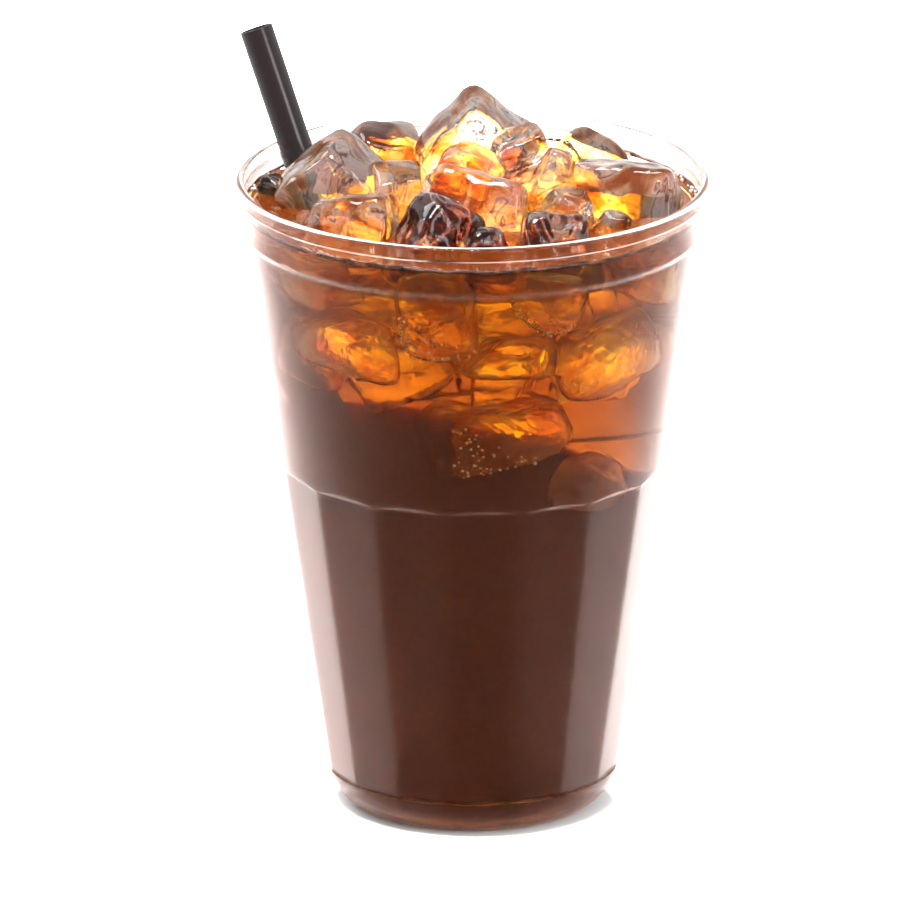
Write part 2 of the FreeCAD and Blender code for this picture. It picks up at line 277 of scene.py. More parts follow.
def melting_ice(name, tint, clearness, glow_and_shade_stops):
    """Machine-made ice, melting: wet and glassy, with a finely uneven skin, and painted glow and shade in
    its colour.

    Its colours lie along a noise. Wide stretches of it colour whole patches: amber ones are a painted glow
    of light through the coffee, and dark ones are painted shade. A narrow dark stretch draws thin lines
    along the noise's level lines, painted dark outlines where the ice would show the dark coffee.
    """
    material, tree, output = new_material(name)
    place = add_node(tree, "ShaderNodeTexCoord").outputs["Object"]
    melt = add_node(tree, "ShaderNodeTexNoise", {"Scale": 220.0, "Detail": 3.0}, Vector=place)
    bump = add_node(
        tree, "ShaderNodeBump", {"Strength": 0.4, "Distance": 0.0008}, Height=melt.outputs["Fac"]
    )
    outline_and_patch_noise = add_node(
        tree, "ShaderNodeTexNoise", {"Scale": 90.0, "Detail": 4.0, "Distortion": 1.2}, Vector=place
    )
    # Painted light in the colour: amber patches of painted glow, dark patches of painted shade and thin
    # painted dark outlines.
    colour = colour_ramp(tree, outline_and_patch_noise.outputs["Fac"], glow_and_shade_stops)
    shader = add_node(
        tree,
        "ShaderNodeBsdfPrincipled",
        {"Roughness": 0.02, "IOR": 1.31, "Transmission Weight": clearness, "Specular Tint": srgb(tint)},
        Base_Color=colour,
        Normal=bump.outputs["Normal"],
    )
    tree.links.new(shader.outputs["BSDF"], output.inputs["Surface"])
    return material


def black_polypropylene():
    """Extruded black polypropylene: glossy, with fine lines along the tube."""
    material, tree, output = new_material("extruded_black_polypropylene")
    place = add_node(tree, "ShaderNodeTexCoord").outputs["Object"]
    grain = add_node(tree, "ShaderNodeTexNoise", {"Scale": 700.0, "Detail": 2.0}, Vector=place)
    bump = add_node(
        tree, "ShaderNodeBump", {"Strength": 0.1, "Distance": 0.0002}, Height=grain.outputs["Fac"]
    )
    shader = add_node(
        tree,
        "ShaderNodeBsdfPrincipled",
        {"Base Color": srgb("160b0c"), "Roughness": 0.22, "IOR": 1.4},
        Normal=bump.outputs["Normal"],
    )
    tree.links.new(shader.outputs["BSDF"], output.inputs["Surface"])
    return material


def meniscus_shade_finish():
    """A dark line at the edge of the level, painted shade where the meniscus looks dark: glossy, and
    blotchy.
    """
    material, tree, output = new_material("painted_meniscus_shade")
    place = add_node(tree, "ShaderNodeTexCoord").outputs["Object"]
    blotch = add_node(tree, "ShaderNodeTexNoise", {"Scale": 300.0, "Detail": 3.0}, Vector=place)
    # Dark browns of the painted meniscus shade.
    colour = colour_ramp(tree, blotch.outputs["Fac"], ((0.35, "240c06"), (0.55, "4a1e0c"), (0.7, "8a4a24")))
    bump = add_node(
        tree, "ShaderNodeBump", {"Strength": 0.3, "Distance": 0.0003}, Height=blotch.outputs["Fac"]
    )
    shader = add_node(
        tree,
        "ShaderNodeBsdfPrincipled",
        {"Roughness": 0.15},
        Base_Color=colour,
        Normal=bump.outputs["Normal"],
    )
    tree.links.new(shader.outputs["BSDF"], output.inputs["Surface"])
    return material


def coffee_bubbles():
    """Air bubbles: thin bright skins with a little of the coffee's colour."""
    material, tree, output = new_material("coffee_bubbles")
    place = add_node(tree, "ShaderNodeTexCoord").outputs["Object"]
    skin = add_node(tree, "ShaderNodeTexNoise", {"Scale": 900.0}, Vector=place)
    colour = colour_ramp(tree, skin.outputs["Fac"], ((0.4, "e8c8a4"), (0.6, "fffaf4")))
    shader = add_node(
        tree,
        "ShaderNodeBsdfPrincipled",
        {"Roughness": 0.08, "IOR": 1.2, "Transmission Weight": 0.45},
        Base_Color=colour,
    )
    tree.links.new(shader.outputs["BSDF"], output.inputs["Surface"])
    return material


# ---------------------------------------------------------------- shapes


def add_piece(name, vertices, faces, material, body="root", slot=None, replaces=(), sharp=None):
    """A mesh object from vertices in millimetres, smooth shaded, riding on its body."""
    mesh = bpy.data.meshes.new(name)
    mesh.from_pydata((np.asarray(vertices) * MM).tolist(), [], faces)
    return finish_piece(name, mesh, material, body, replaces, sharp)


def finish_piece(name, mesh, material, body="root", replaces=(), sharp=None):
    """Gives a mesh its object and its finish, puts it on its body and hides the parts that it replaces."""
    mesh.materials.clear()
    mesh.materials.append(material)
    mesh.polygons.foreach_set("use_smooth", np.ones(len(mesh.polygons), bool))
    if sharp:
        mesh.set_sharp_from_angle(angle=math.radians(sharp))
    piece = bpy.data.objects.new(name, mesh)
    bpy.context.scene.collection.objects.link(piece)
    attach(piece, body)
    if replaces:
        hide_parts(*replaces)
    return piece


def turned_surface(radius, height):
    """A closed turned surface, as vertices and faces.

    Row i and column j stand at the angle of column j, radius[i, j] from the axis and height[i, j] up.
    The first and last rows are poles: each is one point, closed by a fan of triangles.
    """
    rows, columns = radius.shape
    angle = column_angles(columns)
    ring = np.stack([radius * np.cos(angle), radius * np.sin(angle), height], -1)[1:-1].reshape(-1, 3)
    vertices = np.vstack([[0, 0, height[0, 0]], ring, [0, 0, height[-1, 0]]])
    here = np.arange(columns)
    after = np.roll(here, -1)
    start = 1 + columns * np.arange(rows - 3)[:, None]
    quads = np.stack([start + here, start + after, start + columns + after, start + columns + here], -1)
    top, last = 1 + columns * (rows - 3), len(vertices) - 1
    near = np.stack([np.zeros_like(here), 1 + after, 1 + here], -1)
    far = np.stack([np.full_like(here, last), top + here, top + after], -1)
    return vertices, quads.reshape(-1, 4).tolist() + near.tolist() + far.tolist()


def column_angles(columns):
    """The angle of each column, so that the panels' corners fall on columns."""
    return math.radians(PANEL_TURN) + np.arange(columns) * 2 * math.pi / columns


def arc(start, end, radius, steps=9):
    """Points of an arc from start to end that bulges to the right of that direction."""
    start, end = np.array(start, float), np.array(end, float)
    chord = end - start
    half = np.linalg.norm(chord) / 2
    right = np.array([chord[1], -chord[0]]) / (2 * half)
    centre = (start + end) / 2 - right * math.sqrt(radius**2 - half**2)
    first, last = (math.atan2(*(point - centre)[::-1]) for point in (start, end))
    turn = (last - first + math.pi) % (2 * math.pi) - math.pi
    angles = first + turn * np.linspace(0, 1, steps)
    return centre + radius * np.stack([np.cos(angles), np.sin(angles)], 1)


def soft_corners(points, reach):
    """An outline with each inner corner replaced by a short curve that starts and ends reach from it."""
    points = np.array(points, float)
    kept = [points[0]]
    for before, corner, after in zip(points, points[1:], points[2:]):
        to_before, to_after = before - corner, after - corner
        a = min(reach, np.linalg.norm(to_before) * 0.45)
        b = min(reach, np.linalg.norm(to_after) * 0.45)
        first = corner + to_before / np.linalg.norm(to_before) * a
        last = corner + to_after / np.linalg.norm(to_after) * b
        kept += [first, (first + 2 * corner + last) / 4, last]
    return np.array(kept + [points[-1]])


def smooth_min(first, second, blend):
    """The smaller of two values, with a rounded change-over as wide as blend.

    With s the share of blend that their difference falls short of it, s squared times a quarter of blend
    is taken off.
    """
    share = np.clip(blend - np.abs(first - second), 0, None) / blend
    return np.minimum(first, second) - share**2 * blend / 4


def wall_radius(height, inset):
    """The wall's radius by height (rows) and angle (columns): the smaller of the cone and the flat panels.

    A panel lies at the distance d(z) from the axis, so at the angle a from its middle it is d / cos(a)
    away. Over the panels d runs out along a short ledge, and under them it steps out to the foot. Where
    the ledge meets the cone, a bead stands out by a bell curve of the difference of the two.
    """
    height = np.asarray(height, float)[:, None]
    step = 2 * math.pi / PANEL_COUNT
    off_middle = (np.arange(COLUMNS) * 2 * math.pi / COLUMNS + step / 2) % step - step / 2
    share = math.cos(step / 2)
    cone = np.interp(
        height,
        [0, FOOT_HEIGHT, SHOULDER_HEIGHT, NECK_HEIGHT],
        [FOOT_RADIUS - 2.4, FOOT_RADIUS, SHOULDER_RADIUS, NECK_RADIUS],
    )
    flat = np.interp(
        height,
        [FOOT_HEIGHT - 0.2, FOOT_HEIGHT + 0.2, SHOULDER_HEIGHT, SHOULDER_HEIGHT + PANEL_LEDGE],
        [FOOT_RADIUS + 1, FOOT_RADIUS * share, SHOULDER_RADIUS * share, SHOULDER_RADIUS + WALL],
    )
    flat = np.where(height > SHOULDER_HEIGHT + PANEL_LEDGE, 2 * RIM_RADIUS, flat) / np.cos(off_middle)
    bead = PANEL_BEAD * np.exp(-(((flat - cone) / BEAD_REACH) ** 2)) * (height > SHOULDER_HEIGHT - 0.5)
    return smooth_min(cone, flat, PANEL_BLEND) + bead - inset


def wall_heights():
    """Heights of the rows between the foot and the neck, close together at the panels' two ends."""
    return np.concatenate(
        [
            FOOT_HEIGHT + np.array([-0.4, -0.2, 0, 0.2, 0.5, 1.5, 5]),
            np.linspace(20, SHOULDER_HEIGHT - 3, 8),
            SHOULDER_HEIGHT + np.linspace(-1, PANEL_LEDGE + 0.4, 16),
            np.linspace(SHOULDER_HEIGHT + 4, NECK_HEIGHT - 1.2, 8),
        ]
    )


def plain_rows(points):
    """An outline's points as rows that are the same at every angle: radius and height arrays."""
    points = np.asarray(points, float)
    ones = np.ones(COLUMNS)
    return points[:, :1] * ones, points[:, 1:] * ones


def wall_rows(inset, offset=0.0):
    """The rows of the wall between the foot and the neck: radius and height arrays."""
    heights = wall_heights()
    return wall_radius(heights, inset) + offset, heights[:, None] * np.ones(COLUMNS)


def joined(*parts):
    """Several groups of rows as one pair of arrays."""
    return np.vstack([part[0] for part in parts]), np.vstack([part[1] for part in parts])


def tumbler():
    """The tumbler: one closed turned surface, up the outside, over the rim and down the inside."""
    base = soft_corners(
        [
            (0, HOLLOW_HEIGHT),
            (HOLLOW_RADIUS - HOLLOW_SLOPE, HOLLOW_HEIGHT),
            (HOLLOW_RADIUS, 0),
            (BASE_RADIUS - 0.6, 0),
        ],
        0.5,
    )
    foot = arc((BASE_RADIUS, 0.0), (FOOT_RADIUS, FOOT_HEIGHT), FOOT_ROUND, 10)[:-1]
    mouth = soft_corners(
        [
            (NECK_RADIUS - 0.1, NECK_HEIGHT - 0.7),
            (NECK_RADIUS, NECK_HEIGHT),
            (NECK_RADIUS + BAND_STEP, NECK_HEIGHT + BAND_RISE),
            (MOUTH_RADIUS + WALL, CUP_HEIGHT - RIM_HEIGHT),
            (RIM_RADIUS - RIM_ROUND / 2, CUP_HEIGHT - RIM_HEIGHT),
        ],
        0.3,
    )
    low = arc(
        (RIM_RADIUS - RIM_ROUND / 2, CUP_HEIGHT - RIM_HEIGHT + 0.08),
        (RIM_RADIUS, CUP_HEIGHT - RIM_HEIGHT + RIM_ROUND),
        RIM_ROUND,
        5,
    )
    high = arc((RIM_RADIUS, CUP_HEIGHT - RIM_ROUND), (RIM_RADIUS - RIM_ROUND, CUP_HEIGHT), RIM_ROUND, 7)
    over = arc((MOUTH_RADIUS + RIM_ROUND, CUP_HEIGHT), (MOUTH_RADIUS, CUP_HEIGHT - RIM_ROUND), RIM_ROUND, 7)
    throat = soft_corners(
        [
            (MOUTH_RADIUS, CUP_HEIGHT - RIM_ROUND - 0.4),
            (MOUTH_RADIUS, CUP_HEIGHT - RIM_HEIGHT),
            (NECK_RADIUS + BAND_STEP - WALL, NECK_HEIGHT + BAND_RISE),
            (NECK_RADIUS - WALL, NECK_HEIGHT),
            (NECK_RADIUS - WALL - 0.1, NECK_HEIGHT - 0.7),
        ],
        0.3,
    )
    inside = wall_rows(WALL)
    radius, height = joined(
        plain_rows(base),
        plain_rows(foot),
        wall_rows(0),
        plain_rows(mouth),
        plain_rows(low),
        plain_rows(high),
        plain_rows(over),
        plain_rows(throat),
        (inside[0][::-1], inside[1][::-1]),
        plain_rows(inner_floor(0)[::-1]),
    )
    return turned_surface(radius, height)


def inner_floor(offset):
    """The hollow's floor from the middle out to the foot's top, moved into the wall by offset."""
    curve = arc((BASE_RADIUS, WALL), (FOOT_RADIUS - WALL, FOOT_HEIGHT), FOOT_ROUND - WALL, 9)[:-1]
    flat = soft_corners(
        [
            (0, HOLLOW_HEIGHT + WALL),
            (HOLLOW_RADIUS - HOLLOW_SLOPE + WALL / 2, HOLLOW_HEIGHT + WALL),
            (HOLLOW_RADIUS + WALL / 2, WALL),
            (BASE_RADIUS - 0.6, WALL),
        ],
        0.5,
    )
    points = np.vstack([flat, curve])
    points[:, 1] -= offset
    points[1:, 0] += offset * (points[1:, 0] > BASE_RADIUS)
    return points


def coffee_fill():
    """The coffee before its pockets are cut: it follows the hollow, just inside the wall, and its level
    curves up to the wall over the meniscus."""
    meniscus_reach, meniscus_rise = 3.0, 0.9
    top_radius = MOUTH_RADIUS + INTO_WALL
    neck = [
        (NECK_RADIUS - WALL + INTO_WALL, NECK_HEIGHT),
        (NECK_RADIUS + BAND_STEP - WALL + INTO_WALL, NECK_HEIGHT + BAND_RISE),
        (top_radius, LEVEL + meniscus_rise),
    ]
    inward = np.linspace(0.3, 1.0, 8)[:, None] * [meniscus_reach, 0]
    edge = np.array([[top_radius, LEVEL]]) - inward
    edge[:, 1] += meniscus_rise * (1 - inward[:, 0] / meniscus_reach) ** 2
    disc = [(radius, LEVEL) for radius in (40, 32, 24, 16, 8, 0)]
    radius, height = joined(
        plain_rows(inner_floor(INTO_WALL)),
        wall_rows(WALL, INTO_WALL),
        plain_rows(neck),
        plain_rows(edge),
        plain_rows(disc),
    )
    return turned_surface(radius, height)


def coffee_core():
    """The undiluted coffee's body, well inside the wall: its top falls from the middle to the wall as
    CORE_TOP - CORE_FALL * (radius / CORE_RADIUS) squared, so that its colour fades in with depth, and
    leans up to the left by CORE_TILT at the wall."""
    share = np.linspace(1, 0, 14)
    top = np.stack([CORE_RADIUS * share, CORE_TOP - CORE_FALL * share**2], -1)
    side = [
        (0, HOLLOW_HEIGHT + 2),
        (BASE_RADIUS - 3, HOLLOW_HEIGHT + 2),
        (FOOT_RADIUS - 5.5, FOOT_HEIGHT + 3),
    ]
    radius, height = (rows[:, ::5] for rows in plain_rows(np.vstack([side, top])))
    leftward = -radius * np.cos(column_angles(radius.shape[1])) / CORE_RADIUS
    lean = CORE_TILT * leftward * (height > FOOT_HEIGHT + 4)
    return turned_surface(radius, height + lean)


def cube_sphere(steps):
    """Unit directions on a closed grid of six faces of steps by steps quads, denser at the cube's edges."""
    line = np.linspace(-1, 1, steps + 1)
    line = np.tan((0.45 * line + 0.55 * np.sin(line * math.pi / 2)) * math.pi / 4)
    across, along = (grid.ravel() for grid in np.meshgrid(line, line, indexing="ij"))
    one = np.ones_like(across)
    sides = [np.stack(axes, -1) for axes in (
        (one, across, along), (-one, along, across), (along, one, across),
        (across, -one, along), (across, along, one), (along, across, -one),
    )]
    points = np.vstack(sides)
    grid = np.arange((steps + 1) ** 2).reshape(steps + 1, steps + 1)
    quads = np.stack([grid[:-1, :-1], grid[1:, :-1], grid[1:, 1:], grid[:-1, 1:]], -1).reshape(-1, 4)
    faces = np.vstack([quads + len(grid.ravel()) * side for side in range(6)])
    _, first, merged = np.unique(np.round(points, 6), axis=0, return_index=True, return_inverse=True)
    directions = points[first] / np.linalg.norm(points[first], axis=1)[:, None]
    return directions, merged.ravel()[faces].tolist()


FINE_GRID = cube_sphere(18)
PLAIN_GRID = cube_sphere(10)
ICE_DRAFT = 1.6
# How sharp a block's edges are, the higher the sharper: large ones, small ones, sunk and packed ones.
ICE_EDGE, SMALL_EDGE, SUNK_EDGE, PACKED_EDGE = 10.0, 7.0, 8.0, 18.0
SMALL_SIZE = 9.0
# The waves of a block's skin: the lengths of long and short ones, and their height as a share of that.
LONG_WAVES, SHORT_WAVES, WAVE_SHARE = (8, 16), (4, 7), (0.008, 0.018)
# How far a corner's chip leans from the diagonal, and where it cuts, as a share of the corner's distance.
CHIP_LEAN, CHIP_CUT = 0.22, (0.72, 0.88)
# How near ice comes to the wall, and the packed ice behind.
WALL_GAP, PACKED_WALL_GAP = 1.2, 4.0
# Sunk blocks meet within half a cube's diagonal, as a share of its side, and keep a least distance from
# their centre to the plane that ends them.
HALF_DIAGONAL, LEAST_REACH = 0.87, 1.5


def turn_matrix(yaw, pitch, roll):
    """A turn by roll about X, then pitch about Y, then yaw about Z, in degrees."""
    a, b, c = (math.radians(angle) for angle in (yaw, pitch, roll))
    about_z = np.array([[math.cos(a), -math.sin(a), 0], [math.sin(a), math.cos(a), 0], [0, 0, 1]])
    about_y = np.array([[math.cos(b), 0, math.sin(b)], [0, 1, 0], [-math.sin(b), 0, math.cos(b)]])
    about_x = np.array([[1, 0, 0], [0, math.cos(c), -math.sin(c)], [0, math.sin(c), math.cos(c)]])
    return about_z @ about_y @ about_x


def ice_planes(wide, deep, high, shift, yaw, pitch, roll, draw):
    """A block's planes, as normals and distances from its centre: the six sides of a tapered block,
    turned in place, and four random ones that chip its corners."""
    x, y, z = wide / 2, high / 2, deep / 2
    normals = np.array(
        [
            (0, -1, 0),
            (0, 1, 0),
            (2 * y, ICE_DRAFT - shift, 0),
            (-2 * y, ICE_DRAFT + shift, 0),
            (0, ICE_DRAFT, 2 * y),
            (0, ICE_DRAFT, -2 * y),
        ]
    )
    normals = normals / np.linalg.norm(normals, axis=1)[:, None]
    on_side = np.array([(0, -y, 0), (0, y, 0), (x, -y, 0), (-x, -y, 0), (0, -y, z), (0, -y, -z)])
    corners = np.array([(i * x, j * y, k * z) for i in (-1, 1) for j in (-1, 1) for k in (-1, 1)])
    chips = corners[draw.permutation(8)[:4]] / np.linalg.norm(corners[0])
    chips = chips + draw.normal(0, CHIP_LEAN, chips.shape)
    chips /= np.linalg.norm(chips, axis=1)[:, None]
    chip_reach = (chips @ corners.T).max(1) * draw.uniform(*CHIP_CUT, 4)
    reach = np.concatenate([(normals * on_side).sum(1), chip_reach])
    return np.vstack([normals, chips]) @ turn_matrix(yaw, pitch, roll + 90).T, reach


def ice_skin(grid, centre, normals, reach, edge, grow, draw):
    """A melting block's vertices: along each direction, its skin is where the planes end it.

    With n the normals of the planes and h their distances, the skin along d lies at
    (sum of max(0, n.d / h) to the power p) to the power -1/p, which rounds the edges; waves of several
    lengths make it uneven, and grow moves it out.
    """
    facing = np.clip(grid @ normals.T / reach, 0, None)
    radius = (facing**edge).sum(1) ** (-1 / edge)
    waves = draw.normal(0, 1, (12, 3))
    waves /= np.linalg.norm(waves, axis=1)[:, None]
    length = np.concatenate([draw.uniform(*LONG_WAVES, 6), draw.uniform(*SHORT_WAVES, 6)])
    waves *= 2 * math.pi / length[:, None]
    phase = draw.uniform(0, 2 * math.pi, 12)
    rise = length * draw.uniform(*WAVE_SHARE, 12)
    swell = np.sin((grid * radius[:, None]) @ waves.T + phase) @ rise
    return centre + grid * (radius + swell + grow)[:, None]


def kept_in_hollow(points, gap):
    """Points nearer than gap to the hollow's wall, or past it, are pushed straight in, until they are gap
    away from it."""
    span = np.hypot(points[:, 0], points[:, 1])
    heights = [0, FOOT_HEIGHT, SHOULDER_HEIGHT, NECK_HEIGHT, NECK_HEIGHT + BAND_RISE, CUP_HEIGHT]
    band_radius, top_radius = NECK_RADIUS + BAND_STEP, MOUTH_RADIUS + WALL
    radii = [BASE_RADIUS, FOOT_RADIUS, SHOULDER_RADIUS, NECK_RADIUS, band_radius, top_radius]
    room = np.interp(points[:, 2], heights, radii) - WALL - gap
    squeeze = np.minimum(1, room / np.maximum(span, 1e-6))
    return np.column_stack([points[:, 0] * squeeze, points[:, 1] * squeeze, points[:, 2]])


def packed_ice():
    """The figures of the blocks behind: a loose grid at each height, kept inside the hollow."""
    draw = np.random.default_rng(5)
    rows = []
    for height, margin in zip(PACKED_HEIGHTS, PACKED_MARGIN):
        room = np.interp(height, [SHOULDER_HEIGHT, NECK_HEIGHT], [SHOULDER_RADIUS, NECK_RADIUS]) - margin
        for right in np.arange(-2, 3) * PACKED_SPACING:
            for back in PACKED_FRONT + np.arange(4) * PACKED_SPACING:
                if math.hypot(right, back) > room:
                    continue
                shift = draw.uniform(-PACKED_SHIFT, PACKED_SHIFT, 3)
                place = np.array([right, back, height]) + shift
                size = draw.uniform(*PACKED_SIZE, 3)
                rows.append((*size, 0, *place, *draw.uniform(-PACKED_TURN, PACKED_TURN, 3)))
    return rows


def ice_forms():
    """Each block by name: its grid, centre, planes, edge sharpness, least gap to the wall and the seed of
    its waves.

    A sunk block gets one more plane for each block before it that it would meet: it faces that block, and
    lies SUNK_GAP short of it.
    """
    rows = [
        (name, (wide, deep, high, shift, MOUTH_RADIUS * right, MOUTH_RADIUS * back, LEVEL + lift, *turn))
        for name, (wide, deep, high, shift, right, back, lift, *turn) in ICE_ABOVE.items()
    ]
    rows += [(f"sunk_front_{i}", row) for i, row in enumerate(ICE_SUNK)]
    rows += [(f"sunk_behind_{i}", row) for i, row in enumerate(packed_ice())]
    forms, skins = {}, []
    for seed, (name, (wide, deep, high, shift, *place)) in enumerate(rows):
        centre, turn = np.array(place[:3], float), place[3:]
        normals, reach = ice_planes(wide, deep, high, shift, *turn, np.random.default_rng(seed))
        if name.startswith("sunk"):
            for other, skin in skins:
                toward = other - centre
                distance = np.linalg.norm(toward)
                toward /= distance
                room = ((skin - centre) @ toward).min() - SUNK_GAP
                if room < max(wide, deep, high) * HALF_DIAGONAL:
                    normals = np.vstack([normals, toward])
                    reach = np.append(reach, max(room, LEAST_REACH))
        grid, gap = FINE_GRID, WALL_GAP
        edge = SMALL_EDGE if min(wide, deep, high) < SMALL_SIZE else ICE_EDGE
        if name.startswith("sunk_front"):
            edge = SUNK_EDGE
        if name.startswith("sunk_behind"):
            grid, edge, gap = PLAIN_GRID, PACKED_EDGE, PACKED_WALL_GAP
        forms[name] = (grid, centre, normals, reach, edge, gap, seed)
        skins.append((centre, ice_points(forms[name], 0)))
    return forms


def ice_points(form, grow):
    """The vertices of one block, moved out by grow."""
    (directions, _), centre, normals, reach, edge, gap, seed = form
    skin = ice_skin(directions, centre, normals, reach, edge, grow, np.random.default_rng(100 + seed))
    return kept_in_hollow(skin, gap)


def loose_mesh(name, vertices, faces):
    """A mesh in millimetres with no object."""
    mesh = bpy.data.meshes.new(name)
    mesh.from_pydata(np.asarray(vertices).tolist(), [], faces)
    return mesh


def cut_mesh(mesh, tools):
    """The mesh with each tool mesh cut away, as a new mesh."""
    if not tools:
        return mesh
    made = [bpy.data.objects.new(f"cut_{i}", item) for i, item in enumerate((mesh, *tools))]
    for item in made:
        bpy.context.scene.collection.objects.link(item)
    for tool in made[1:]:
        cut = made[0].modifiers.new(tool.name, "BOOLEAN")
        cut.operation = "DIFFERENCE"
        cut.solver = "MANIFOLD"
        cut.object = tool
    depsgraph = bpy.context.evaluated_depsgraph_get()
    result = bpy.data.meshes.new_from_object(made[0].evaluated_get(depsgraph))
    for item in made:
        bpy.data.objects.remove(item)
    return result


def boxes_meet(first, second):
    """True if two groups of points have boxes that overlap."""
    return bool(np.all(first.min(0) < second.max(0)) and np.all(second.min(0) < first.max(0)))


def ice_meshes(forms, grow, gap):
    """Every block's mesh by name; those above the coffee are cut back from the ones before them."""
    meshes, before = {}, []
    for name, form in forms.items():
        points, faces = ice_points(form, grow), form[0][1]
        tools = []
        if not name.startswith("sunk"):
            tools = [loose_mesh("tool", *wide) for wide in before if boxes_meet(points, wide[0])]
            before.append((ice_points(form, grow + gap), faces))
        meshes[name] = cut_mesh(loose_mesh(name, points, faces), tools)
    return meshes


def joined_mesh(name, meshes):
    """Several meshes as one."""
    vertices, faces, start = [], [], 0
    for mesh in meshes:
        points = np.zeros(len(mesh.vertices) * 3)
        mesh.vertices.foreach_get("co", points)
        vertices.append(points.reshape(-1, 3))
        faces += [[start + i for i in polygon.vertices] for polygon in mesh.polygons]
        start += len(mesh.vertices)
    return loose_mesh(name, np.vstack(vertices), faces)


def scaled(mesh):
    """The mesh brought from millimetres to metres."""
    points = np.zeros(len(mesh.vertices) * 3)
    mesh.vertices.foreach_get("co", points)
    mesh.vertices.foreach_set("co", points * MM)
    mesh.update()
    return mesh


def straw_tube():
    """The straw: a closed tube, its section's outline carried round a leaning line."""
    lean, bearing = math.radians(STRAW_LEAN), math.radians(STRAW_BEARING)
    low = HOLLOW_HEIGHT + WALL + STRAW_GAP + STRAW_RADIUS * math.sin(lean)
    reach = MOUTH_RADIUS - STRAW_GAP - STRAW_RADIUS / math.cos(lean) - (CUP_HEIGHT - low) * math.tan(lean)
    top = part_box("straw")[1].z / MM - STRAW_RADIUS * math.sin(lean)
    length = (top - low) / math.cos(lean)
    outward = np.array([math.cos(bearing), math.sin(bearing), 0])
    axis = outward * math.sin(lean) + np.array([0, 0, math.cos(lean)])
    side = np.cross([0, 0, 1], outward)
    up = np.cross(axis, side)
    start = outward * reach + np.array([0, 0, low])
    inner = STRAW_RADIUS - STRAW_WALL
    middle = (inner, length / 2)
    section = soft_corners(
        [middle, (inner, 0), (STRAW_RADIUS, 0), (STRAW_RADIUS, length), (inner, length), middle], 0.12
    )[:-1]
    angle = np.arange(64) * 2 * math.pi / 64
    radial = np.cos(angle)[:, None] * side + np.sin(angle)[:, None] * up
    points = start + section[:, None, :1] * radial + section[:, None, 1:] * axis
    return points.reshape(-1, 3), ring_faces(len(section), len(angle))


def ring_faces(rows, columns):
    """The faces of a closed section carried round a closed path: both ways, the last meets the first."""
    i, j = (grid.ravel() for grid in np.meshgrid(np.arange(rows), np.arange(columns), indexing="ij"))
    next_row, next_column = (i + 1) % rows, (j + 1) % columns
    corners = [(i, j), (next_row, j), (next_row, next_column), (i, next_column)]
    return np.stack([row * columns + column for row, column in corners], -1).tolist()


def meniscus_shade_ring():
    """A thin dark ring at the level's edge, against the wall: painted shade where the meniscus looks dark.

    Its top is LEVEL + 1.1 plus three waves round the wall, each with its own count and height.
    """
    angle = np.arange(COLUMNS) * 2 * math.pi / COLUMNS
    wave = 0.12 * np.sin(9 * angle) + 0.1 * np.sin(23 * angle + 1) + 0.08 * np.sin(47 * angle + 2)
    section = np.array([(-0.35, 0.45), (0.2, 0.35), (0.2, 1.1), (-0.15, 1.15), (-0.35, 0.8)])
    radius = MOUTH_RADIUS + section[:, :1] * np.ones(COLUMNS)
    height = LEVEL + section[:, 1:] + wave * (section[:, 1:] > 0.7)
    points = np.stack([radius * np.cos(angle), radius * np.sin(angle), height], -1)
    return points.reshape(-1, 3), ring_faces(len(section), COLUMNS)


def bubble_mesh(centres, radii):
    """Small round bubbles as one mesh, each a sphere of 24 faces."""
    directions, faces = cube_sphere(2)
    points = centres[:, None] + radii[:, None, None] * directions
    starts = len(directions) * np.arange(len(centres))[:, None, None]
    return points.reshape(-1, 3), (starts + np.array(faces)).reshape(-1, 4).tolist()


def edge_bubbles():
    """Bubbles along the coffee's edge: some all round it, and a cluster at the front left."""
    around, cluster, bearing = 110, 14, math.radians(-130)
    draw = np.random.default_rng(11)
    angle = np.concatenate([draw.uniform(0, 2 * math.pi, around), draw.normal(bearing, 0.03, cluster)])
    size = np.concatenate([draw.uniform(0.18, 0.42, around), draw.uniform(0.3, 0.65, cluster)])
    reach = MOUTH_RADIUS - size - draw.exponential(0.25, around + cluster)
    height = LEVEL + 0.75 + 0.3 * size
    return np.stack([reach * np.cos(angle), reach * np.sin(angle), height], -1), size


def clinging_bubbles(forms):
    """Bubbles that cling to the lower left edges of the sunk blocks at the front."""
    draw = np.random.default_rng(12)
    centres = []
    for name in BUBBLY_BLOCKS:
        points = ice_points(forms[name], 0)
        middle = points.mean(0)
        off = points - middle
        low = points[(off[:, 1] < -3) & (off[:, 2] + 0.5 * off[:, 0] < -2)]
        centres.append(low[draw.permutation(len(low))[:BUBBLES_ON_BLOCK]])
    centres = np.vstack(centres)
    return centres + draw.normal(0, 0.12, centres.shape), draw.uniform(0.15, 0.38, len(centres))


# ---------------------------------------------------------------- pieces

add_piece("tumbler", *tumbler(), moulded_pet(), slot="clear_plastic", replaces=["cup"])

forms = ice_forms()
blocks = ice_meshes(forms, 0.0, ICE_GAP)
pockets = ice_meshes(forms, -INTO_COFFEE, ICE_GAP + 2 * INTO_COFFEE)
fill = cut_mesh(loose_mesh("coffee", *coffee_fill()), [joined_mesh("pockets", pockets.values())])
finish_piece("brewed_coffee", scaled(fill), brewed_coffee(), replaces=["coffee"], sharp=35)
